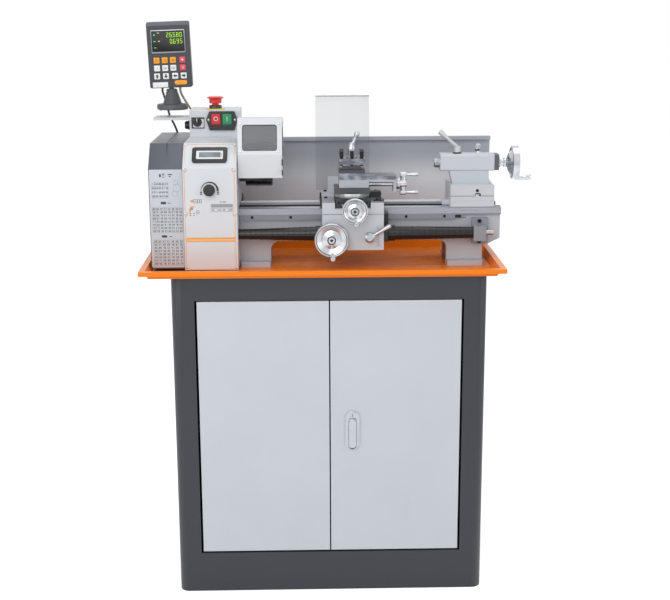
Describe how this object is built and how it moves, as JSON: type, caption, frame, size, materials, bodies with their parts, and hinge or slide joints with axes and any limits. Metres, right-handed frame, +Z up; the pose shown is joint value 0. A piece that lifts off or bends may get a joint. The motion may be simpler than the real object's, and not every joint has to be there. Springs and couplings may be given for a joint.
{
  "type": "benchtop metal lathe",
  "caption": "Small metal-turning lathe with chuck, carriage, compound slide, tailstock and readout, bolted through a chip tray to a two-door cabinet stand.",
  "frame": {"origin": "on the floor, under the spindle's axis, 6 mm to the right of the chip tray's middle", "axes": "+X along the bed from the headstock to the tailstock, +Y away from the operator, +Z up"},
  "size_m": [0.89, 0.4168, 1.3005],
  "materials": {
    "slate": "satin powder coat",
    "door": "satin powder coat",
    "orange": "gloss paint",
    "splash": "satin paint",
    "cover": "satin paint",
    "casting": "painted casting",
    "steel": "turned and ground",
    "dark_steel": "blackened",
    "motor": "satin paint",
    "rubber": "matt",
    "black": "fine grain",
    "dro": "fine grain",
    "glass": "clear sheet",
    "brass": "machined",
    "red": "moulded",
    "green": "moulded",
    "bolt": "zinc plated",
    "beige": "ribbed sleeve"
  },
  "bodies": {
    "frame": {"cabinet_body": "slate", "chip_tray": "orange", "backsplash": "splash", "mounting_bolts": "bolt", "bed": "casting", "headstock": "casting", "spindle_bearings": "steel", "head_cover": "cover", "switch_box": "cover", "switch_plates": "black", "end_cover": "slate", "drive_motor": "motor", "drive_belt": "rubber", "screw_brackets": "casting", "dro_stand": "black", "cable_black": "rubber", "cable_grey": "beige"},
    "door_l": {"door_left": "door"},
    "door_r": {"door_right": "door", "latch_plate": "steel"},
    "latch": {"latch_lever": "steel"},
    "spindle": {"spindle": "steel", "chuck_body": "steel", "spindle_pulley": "steel"},
    "jaw_1": {"chuck_jaw_1": "dark_steel"},
    "jaw_2": {"chuck_jaw_2": "dark_steel"},
    "jaw_3": {"chuck_jaw_3": "dark_steel"},
    "stud_gear": {"stud_gear": "steel"},
    "leadscrew": {"leadscrew": "steel"},
    "motor_pulley": {"motor_pulley": "steel"},
    "guard": {"chuck_guard": "cover", "guard_window": "glass"},
    "carriage": {"saddle": "casting", "apron": "casting", "splash_shield": "glass", "screw_cover_left": "black", "screw_cover_right": "black"},
    "apron_wheel": {"apron_wheel": "steel"},
    "nut_lever": {"half_nut_lever": "steel"},
    "half_nut": {"half_nut": "brass"},
    "cross_slide": {"cross_slide": "dark_steel"},
    "cross_wheel": {"cross_wheel": "steel"},
    "compound": {"compound_base": "dark_steel"},
    "top_slide": {"top_slide": "steel"},
    "top_crank": {"top_crank": "steel"},
    "tool_post": {"tool_post": "dark_steel", "tool_bolts": "dark_steel"},
    "post_lever": {"post_lever": "steel"},
    "tailstock": {"tailstock_base": "casting", "tailstock_body": "casting"},
    "quill": {"quill": "steel"},
    "tail_wheel": {"tail_wheel": "steel"},
    "quill_lock": {"quill_lock": "steel"},
    "tail_clamp": {"tail_clamp": "steel"},
    "selector": {"selector_knob": "black"},
    "start": {"start_button": "green"},
    "stop": {"stop_button": "red"},
    "estop": {"emergency_stop": "red"},
    "speed_knob": {"speed_knob": "black"},
    "display": {"dro_display": "dro"}
  },
  "joints": [
    {"name": "door_left_hinge", "type": "hinge", "parent": "frame", "child": "door_l", "pos_m": [-0.274, -0.165, 0.395], "axis": [0, 0, -1], "range_deg": [0, 110]},
    {"name": "door_right_hinge", "type": "hinge", "parent": "frame", "child": "door_r", "pos_m": [0.29, -0.165, 0.395], "axis": [0, 0, 1], "range_deg": [0, 110]},
    {"name": "latch_lift", "type": "hinge", "parent": "door_r", "child": "latch", "pos_m": [0.0589, -0.1775, 0.4175], "axis": [-1, 0, 0], "range_deg": [0, 40]},
    {"name": "spindle_turn", "type": "hinge", "parent": "frame", "child": "spindle", "pos_m": [-0.28, 0, 0.979], "axis": [1, 0, 0], "continuous": true},
    {"name": "jaw_1_slide", "type": "slide", "parent": "spindle", "child": "jaw_1", "axis": [0, 0, 1], "range_m": [-0.007, 0.006]},
    {"name": "jaw_2_slide", "type": "slide", "parent": "spindle", "child": "jaw_2", "axis": [0, -0.866, -0.5], "range_m": [-0.007, 0.006]},
    {"name": "jaw_3_slide", "type": "slide", "parent": "spindle", "child": "jaw_3", "axis": [0, 0.866, -0.5], "range_m": [-0.007, 0.006]},
    {"name": "stud_gear_turn", "type": "hinge", "parent": "frame", "child": "stud_gear", "pos_m": [-0.329, -0.024, 0.90059], "axis": [1, 0, 0], "continuous": true},
    {"name": "leadscrew_turn", "type": "hinge", "parent": "frame", "child": "leadscrew", "pos_m": [0, -0.083, 0.83], "axis": [1, 0, 0], "continuous": true},
    {"name": "motor_turn", "type": "hinge", "parent": "frame", "child": "motor_pulley", "pos_m": [-0.34, 0.122, 0.85], "axis": [1, 0, 0], "continuous": true},
    {"name": "guard_lift", "type": "hinge", "parent": "frame", "child": "guard", "pos_m": [-0.15, 0.04, 1.02], "axis": [-1, 0, 0], "range_deg": [0, 90]},
    {"name": "carriage_slide", "type": "slide", "parent": "frame", "child": "carriage", "axis": [1, 0, 0], "range_m": [-0.07, 0.05], "deforming": ["screw_cover_left", "screw_cover_right"]},
    {"name": "apron_wheel_turn", "type": "hinge", "parent": "carriage", "child": "apron_wheel", "pos_m": [0.014, -0.14, 0.826], "axis": [0, 1, 0], "range_deg": [-900, 620]},
    {"name": "half_nut_lift", "type": "slide", "parent": "carriage", "child": "half_nut", "axis": [0, 0, 1], "range_m": [0, 0.004]},
    {"name": "nut_lever_turn", "type": "hinge", "parent": "carriage", "child": "nut_lever", "pos_m": [0.099, -0.14, 0.83], "axis": [0, 1, 0], "range_deg": [-1, 41]},
    {"name": "cross_feed", "type": "slide", "parent": "carriage", "child": "cross_slide", "axis": [0, 1, 0], "range_m": [-0.011, 0.05]},
    {"name": "cross_wheel_turn", "type": "hinge", "parent": "carriage", "child": "cross_wheel", "pos_m": [0.065, -0.166, 0.8935], "axis": [0, 1, 0], "range_deg": [-1990, 9010]},
    {"name": "compound_swivel", "type": "hinge", "parent": "cross_slide", "child": "compound", "pos_m": [0.061, -0.073, 0.92], "axis": [0, 0, 1], "range_deg": [-45, 45]},
    {"name": "top_feed", "type": "slide", "parent": "compound", "child": "top_slide", "axis": [1, 0, 0], "range_m": [-0.03, 0.005]},
    {"name": "top_crank_turn", "type": "hinge", "parent": "top_slide", "child": "top_crank", "pos_m": [0.175, -0.073, 0.942], "axis": [1, 0, 0], "range_deg": [-910, 5410]},
    {"name": "tool_post_turn", "type": "hinge", "parent": "top_slide", "child": "tool_post", "pos_m": [0.061, -0.073, 0.985], "axis": [0, 0, 1], "continuous": true},
    {"name": "post_lever_turn", "type": "hinge", "parent": "top_slide", "child": "post_lever", "pos_m": [0.061, -0.073, 1.01], "axis": [0, 0, 1], "range_deg": [0, 60]},
    {"name": "tailstock_slide", "type": "slide", "parent": "frame", "child": "tailstock", "axis": [1, 0, 0], "range_m": [-0.1, 0.015]},
    {"name": "quill_feed", "type": "slide", "parent": "tailstock", "child": "quill", "axis": [-1, 0, 0], "range_m": [0, 0.05]},
    {"name": "tail_wheel_turn", "type": "hinge", "parent": "tailstock", "child": "tail_wheel", "pos_m": [0.425, 0, 0.979], "axis": [1, 0, 0], "range_deg": [-10, 9010]},
    {"name": "quill_lock_turn", "type": "hinge", "parent": "tailstock", "child": "quill_lock", "pos_m": [0.307, 0, 1.005], "axis": [0, 0, 1], "range_deg": [-60, 0]},
    {"name": "tail_clamp_turn", "type": "hinge", "parent": "tailstock", "child": "tail_clamp", "pos_m": [0.345, 0.057, 0.925], "axis": [0, 1, 0], "range_deg": [-70, 0]},
    {"name": "selector_turn", "type": "hinge", "parent": "frame", "child": "selector", "pos_m": [-0.2945, 0.07, 1.0695], "axis": [0, 1, 0], "range_deg": [-45, 45]},
    {"name": "start_press", "type": "slide", "parent": "frame", "child": "start", "axis": [0, 1, 0], "range_m": [0, 0.0012], "stiffness_N_per_m": 200},
    {"name": "stop_press", "type": "slide", "parent": "frame", "child": "stop", "axis": [0, 1, 0], "range_m": [0, 0.0012], "stiffness_N_per_m": 200},
    {"name": "estop_press", "type": "slide", "parent": "frame", "child": "estop", "axis": [0, 0, -1], "range_m": [0, 0.004], "stiffness_N_per_m": 300},
    {"name": "speed_turn", "type": "hinge", "parent": "frame", "child": "speed_knob", "pos_m": [-0.256, -0.135, 0.937], "axis": [0, 1, 0], "range_deg": [0, 270]},
    {"name": "display_tilt", "type": "hinge", "parent": "frame", "child": "display", "pos_m": [-0.356, 0.114, 1.137], "axis": [1, 0, 0], "range_deg": [-15, 20], "deforming": ["cable_black", "cable_grey"]}
  ],
  "couplings": [
    {"joint": "jaw_2_slide", "follows": "jaw_1_slide", "ratio": 1},
    {"joint": "jaw_3_slide", "follows": "jaw_1_slide", "ratio": 1},
    {"joint": "stud_gear_turn", "follows": "spindle_turn", "ratio": -0.32258},
    {"joint": "leadscrew_turn", "follows": "spindle_turn", "ratio": 0.66667},
    {"joint": "motor_turn", "follows": "spindle_turn", "ratio": 2.2667},
    {"joint": "apron_wheel_turn", "follows": "carriage_slide", "rad_per_m": 209.44},
    {"joint": "nut_lever_turn", "follows": "half_nut_lift", "rad_per_m": 174.53},
    {"joint": "cross_wheel_turn", "follows": "cross_feed", "rad_per_m": 3141.6},
    {"joint": "top_crank_turn", "follows": "top_feed", "rad_per_m": -3141.6},
    {"joint": "tail_wheel_turn", "follows": "quill_feed", "rad_per_m": 3141.6}
  ]
}
